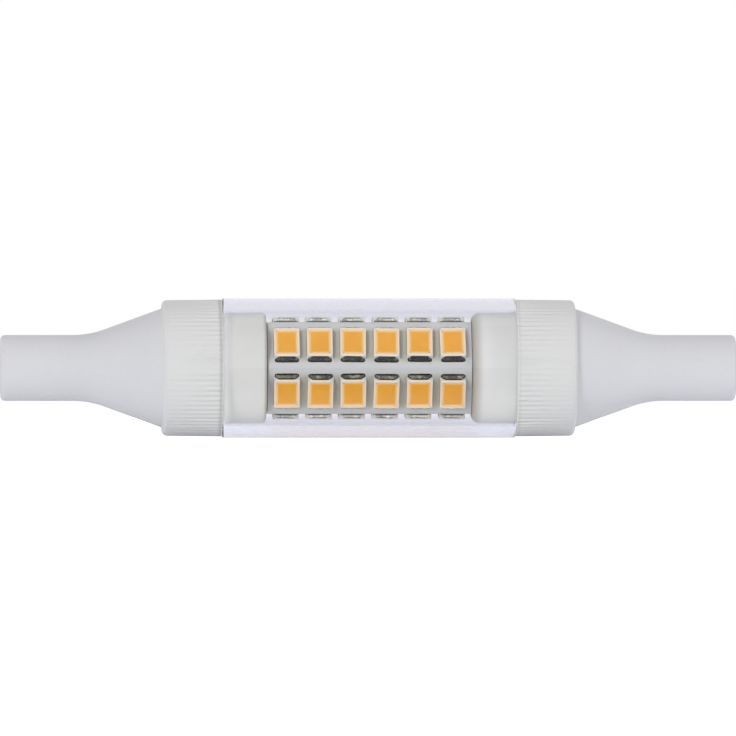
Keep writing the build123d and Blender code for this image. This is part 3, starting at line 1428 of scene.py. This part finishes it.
@dataclass(frozen=True)
class Studio:
    """Pale floor, soft light, white surroundings and the camera of the photograph."""

    azimuth: float = -2.5
    distance: float = 2.0
    view_width_mm: float = 78.05
    sensor_mm: float = 36.0
    clip_start: float = 0.01
    ambient: float = 0.54
    ambient_tint: Rgb = (0.985, 0.99, 1.0)
    front_level: float = 0.1
    front_span: Span = (-0.05, -0.4)
    floor_half: float = 3.5
    floor_colour: Rgb = (0.84, 0.845, 0.87)
    floor_glow: float = 0.18
    floor_lift: float = 0.43
    floor_lift_in_glass: float = 0.37
    floor_lift_tint: Rgb = (0.95, 0.995, 1.03)
    floor_front_span: Span = (-0.002, -0.016)
    softboxes: tuple[Softbox, ...] = (
        Softbox("key", azimuth=-34.0, elevation=15.0, distance=0.9, width=0.24, height=0.2, level=0.4),
        Softbox("side", azimuth=68.0, elevation=10.0, distance=0.7, width=0.2, height=0.15, level=0.25),
        Softbox("back", azimuth=165.0, elevation=25.0, distance=0.9, width=0.3, height=0.2, level=0.2),
    )

    def build_world(self) -> None:
        """White surroundings for the eye, and even light for the lamp."""
        world = bpy.data.worlds.new("studio")
        world.use_nodes = True
        bench = Bench(world.node_tree)
        output = bench.node("OutputWorld")
        seen = bench.node("Background")
        light = bench.node("Background")
        bench.feed(light.inputs["Color"], self.ambient_tint)
        bench.feed(light.inputs["Strength"], self.ambient)
        bench.feed(seen.inputs["Color"], WHITE)
        path = bench.node("LightPath").outputs
        straight = bench.math("MAXIMUM", path["Is Camera Ray"], path["Is Transmission Ray"])
        any_seen = bench.math("MAXIMUM", straight, path["Is Glossy Ray"])
        front = bench.ramp(bench.place("Generated")["Y"], *self.front_span)
        dim = bench.math("SUBTRACT", 1.0, bench.math("MULTIPLY", front, 1.0 - self.front_level))
        bench.feed(seen.inputs["Strength"], bench.math("MAXIMUM", straight, dim))
        mixed = bench.mix_shaders(any_seen, light.outputs[0], seen.outputs[0])
        bench.link(mixed, output.inputs["Surface"])
        bpy.context.scene.world = world

    def floor_material(self) -> Material:
        """Pale paint that looks white where it is seen, and dark in mirror images of what lies in front.

        Returns:
            The finished material.
        """
        material = bpy.data.materials.new("pale_floor")
        material.use_nodes = True
        bench = Bench(material.node_tree)
        output = bench.node("OutputMaterial")
        paint = bench.node("BsdfDiffuse")
        bench.feed(paint.inputs["Color"], self.floor_colour)
        path = bench.node("LightPath").outputs
        plain = bench.math("MULTIPLY", path["Is Camera Ray"], self.floor_lift)
        in_glass = bench.math("MULTIPLY", path["Is Transmission Ray"], self.floor_lift_in_glass)
        strength = bench.math("ADD", bench.math("ADD", plain, in_glass), self.floor_glow)
        lift = bench.node("Emission")
        bench.feed(lift.inputs["Color"], self.floor_lift_tint)
        bench.feed(lift.inputs["Strength"], strength)
        both = bench.node("AddShader")
        bench.link(paint.outputs[0], both.inputs[0])
        bench.link(lift.outputs[0], both.inputs[1])
        dim = bench.node("Emission")
        bench.feed(dim.inputs["Strength"], self.front_level)
        in_front = bench.ramp(bench.place()["Y"], *self.floor_front_span)
        mirrored = bench.math("MULTIPLY", in_front, path["Is Glossy Ray"])
        mixed = bench.mix_shaders(mirrored, both.outputs[0], dim.outputs[0])
        bench.link(mixed, output.inputs["Surface"])
        return material

    def build_floor(self) -> None:
        """Pale floor under the lamp, which keeps its shadow."""
        mesh = bmesh.new()
        bmesh.ops.create_grid(mesh, x_segments=1, y_segments=1, size=self.floor_half)
        low, _ = cad_box
        bmesh.ops.translate(mesh, vec=(0.0, 0.0, low.z), verts=mesh.verts[:])
        data = bpy.data.meshes.new("floor")
        mesh.to_mesh(data)
        mesh.free()
        data.materials.append(self.floor_material())
        floor = bpy.data.objects.new("floor", data)
        bpy.context.scene.collection.objects.link(floor)

    @staticmethod
    def aim(name: str, data: bpy.types.ID, azimuth: float, elevation: float, distance: float) -> Piece:
        """Put a light or the camera in its place, aimed at the lamp's middle.

        Args:
            name: Name of the new object.
            data: Light or camera.
            azimuth: Degrees towards +X from the front.
            elevation: Degrees above the horizon.
            distance: Distance in metres.

        Returns:
            The new object.
        """
        turn = math.radians(azimuth)
        tilt = math.radians(elevation)
        level = math.cos(tilt)
        towards = Vector((math.sin(turn) * level, -math.cos(turn) * level, math.sin(tilt)))
        holder = bpy.data.objects.new(name, data)
        holder.location = towards * distance
        holder.rotation_euler = towards.to_track_quat("Z", "Y").to_euler()
        bpy.context.scene.collection.objects.link(holder)
        return holder

    def build_lights(self) -> None:
        """Soft lights, which light the lamp without their own mirror images in it."""
        for softbox in self.softboxes:
            light = bpy.data.lights.new(softbox.name, "AREA")
            light.shape = "RECTANGLE"
            light.size = softbox.width
            light.size_y = softbox.height
            light.energy = softbox.level * (math.pi * softbox.distance) ** 2
            holder = self.aim(softbox.name, light, softbox.azimuth, softbox.elevation, softbox.distance)
            holder.visible_glossy = False
            holder.visible_transmission = False

    def build_camera(self) -> None:
        """Long lens level with the lamp, a little to its left."""
        data = bpy.data.cameras.new("camera")
        data.sensor_width = self.sensor_mm
        data.lens = self.sensor_mm * self.distance / (self.view_width_mm * MM)
        data.clip_start = self.clip_start
        bpy.context.scene.camera = self.aim("camera", data, self.azimuth, 0.0, self.distance)

    def build(self) -> None:
        """Set up the whole studio."""
        bpy.context.scene.view_settings.view_transform = "Standard"
        self.build_world()
        self.build_floor()
        self.build_lights()
        self.build_camera()


CERAMIC = CeramicFinish(
    "fired_ceramic",
    base=(0.72, 0.72, 0.71),
    speck=(0.67, 0.67, 0.66),
    cloud=(0.735, 0.735, 0.725),
    smooth=0.5,
    rough=0.66,
    grain_per_mm=2.5,
    specular=0.35,
)
BOARD_WHITE = BoardFinish(
    "white_solder_mask",
    base=(0.57, 0.573, 0.583),
    speck=(0.52, 0.52, 0.52),
    cloud=(0.55, 0.552, 0.556),
    smooth=0.35,
    rough=0.5,
    grain_per_mm=1.6,
)
RESIN = ResinFinish(
    "white_package_resin",
    base=(0.86, 0.82, 0.74),
    speck=(0.82, 0.77, 0.68),
    cloud=(0.84, 0.8, 0.73),
    smooth=0.35,
    rough=0.5,
    grain_per_mm=4.0,
)
PHOSPHOR = PhosphorFinish(
    "orange_phosphor",
    base=(0.82, 0.378, 0.036),
    speck=(0.79, 0.343, 0.026),
    cloud=(0.79, 0.343, 0.026),
    smooth=0.45,
    rough=0.65,
    grain_per_mm=7.0,
    clouds_per_mm=0.9,
    speck_share=0.5,
    cloud_share=0.7,
    bump_strength=0.25,
    specular=0.2,
)
# painted reflections: the dark body, near-black outline and paler streaks stand in for tin mirroring dark
# surroundings
SOLDER = SolderFinish(
    "solder_with_painted_reflections",
    base=(0.28, 0.258, 0.198),
    speck=(0.49, 0.46, 0.39),
    cloud=(0.01, 0.01, 0.009),
    smooth=0.18,
    rough=0.36,
    grain_per_mm=2.2,
    clouds_per_mm=0.6,
    speck_share=0.9,
    cloud_share=0.6,
    bump_mm=0.04,
    bump_strength=0.5,
    metallic=1.0,
)
BOARD_GREEN = SpeckledFinish(
    "green_circuit_board",
    base=(0.03, 0.13, 0.06),
    speck=(0.05, 0.18, 0.08),
    cloud=(0.025, 0.11, 0.05),
    smooth=0.3,
    rough=0.45,
)
CHIP_BLACK = SpeckledFinish(
    "black_chip_moulding",
    base=(0.02, 0.02, 0.022),
    speck=(0.05, 0.05, 0.05),
    cloud=(0.025, 0.025, 0.027),
    smooth=0.55,
    rough=0.75,
    grain_per_mm=6.0,
)
RESISTOR_DARK = SpeckledFinish(
    "dark_resistor_ceramic",
    base=(0.04, 0.04, 0.045),
    speck=(0.09, 0.09, 0.09),
    cloud=(0.05, 0.05, 0.05),
    smooth=0.5,
    rough=0.7,
    grain_per_mm=5.0,
)
CAPACITOR_TAN = SpeckledFinish(
    "tan_capacitor_ceramic",
    base=(0.38, 0.26, 0.15),
    speck=(0.3, 0.2, 0.11),
    cloud=(0.42, 0.29, 0.17),
    smooth=0.45,
    rough=0.65,
)
TINNED_WIRE = SpeckledFinish(
    "tinned_wire",
    base=(0.62, 0.61, 0.58),
    speck=(0.5, 0.49, 0.46),
    cloud=(0.66, 0.65, 0.62),
    smooth=0.25,
    rough=0.45,
    metallic=1.0,
)
CONTACT_PLATE = SpeckledFinish(
    "plated_contact",
    base=(0.6, 0.58, 0.53),
    speck=(0.46, 0.44, 0.4),
    cloud=(0.66, 0.64, 0.6),
    smooth=0.22,
    rough=0.42,
    grain_per_mm=5.0,
    clouds_per_mm=0.7,
    metallic=1.0,
)
BRASS_PIN = SpeckledFinish(
    "brass_pin",
    base=(0.6, 0.42, 0.17),
    speck=(0.5, 0.34, 0.12),
    cloud=(0.66, 0.47, 0.2),
    smooth=0.25,
    rough=0.45,
    metallic=1.0,
)
INNER_PARTS = InnerParts(
    (
        (BOARD_GREEN, ("driver_board",)),
        (CHIP_BLACK, ("bridge_rectifier", "current_regulator")),
        (RESISTOR_DARK, ("sense_resistors", "fusible_resistor")),
        (CAPACITOR_TAN, ("smoothing_capacitor",)),
        (TINNED_WIRE, ("left_lead", "right_lead")),
        (BRASS_PIN, ("led_feed_positive", "led_feed_negative")),
    )
)


def dress_lamp(effects: Effects) -> None:
    """Build and dress every piece of the lamp.

    Args:
        effects: Shared node groups.
    """
    ceramic = CERAMIC.build(effects)
    plate = CONTACT_PLATE.build(effects)
    for end in End:
        EndCap(end).build(ceramic)
        Contact(end).build(plate)
    GlassTube().build(GlassFinish().build())
    LedBoard().build(BOARD_WHITE.build(effects))
    LedArray().build(RESIN.build(effects), PHOSPHOR.build(effects), SOLDER.build(effects))
    INNER_PARTS.dress(effects)


def main() -> None:
    """Build the lamp and its studio."""
    logging.basicConfig(level=logging.INFO, format="%(name)s: %(message)s")
    dress_lamp(Effects(SpeckleNoise().build(), border_group()))
    Studio().build()


if __name__ == "__main__":
    main()
